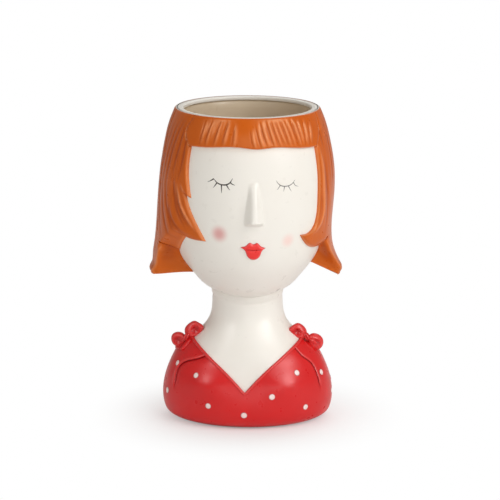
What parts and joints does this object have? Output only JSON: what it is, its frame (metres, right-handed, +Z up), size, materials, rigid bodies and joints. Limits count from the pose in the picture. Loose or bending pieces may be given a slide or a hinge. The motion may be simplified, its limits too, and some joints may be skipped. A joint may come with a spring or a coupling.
{
  "type": "head planter",
  "caption": "Glazed ceramic planter shaped as a lady's head and bust, open at the top for a plant pot, with a drain hole and a lift-out stopper.",
  "frame": {"origin": "middle of the underside, under the figure's upright axis", "axes": "+Z up, the figure faces -Y, the viewer's left is -X"},
  "size_m": [0.1847, 0.1784, 0.3],
  "materials": {
    "cream_glaze": "gloss",
    "orange_glaze": "gloss",
    "red_glaze": "gloss",
    "white_glaze": "gloss",
    "bare_ceramic": "matte",
    "rubber": "matte"
  },
  "bodies": {
    "planter": {"head_shell": "cream_glaze", "neck_and_chest": "cream_glaze", "base_disc": "bare_ceramic", "hair_back": "orange_glaze", "hair_fringe": "orange_glaze", "hair_side_left": "orange_glaze", "hair_side_right": "orange_glaze", "hair_flip_left": "orange_glaze", "hair_flip_right": "orange_glaze", "nose": "cream_glaze", "upper_lip": "red_glaze", "lower_lip": "red_glaze", "dress_bodice": "red_glaze", "dress_side_left": "red_glaze", "dress_side_right": "red_glaze", "neckline_binding": "red_glaze", "polka_dots": "white_glaze", "bow_left_knot": "red_glaze", "bow_left_loop_upper": "red_glaze", "bow_left_loop_lower": "red_glaze", "bow_left_tail": "red_glaze", "bow_right_knot": "red_glaze", "bow_right_loop_upper": "red_glaze", "bow_right_loop_lower": "red_glaze"},
    "stopper": {"drain_plug": "rubber"}
  },
  "joints": [
    {"name": "stopper_lift", "type": "slide", "parent": "planter", "child": "stopper", "axis": [0, 0, 1], "range_m": [0, 0.31]}
  ]
}
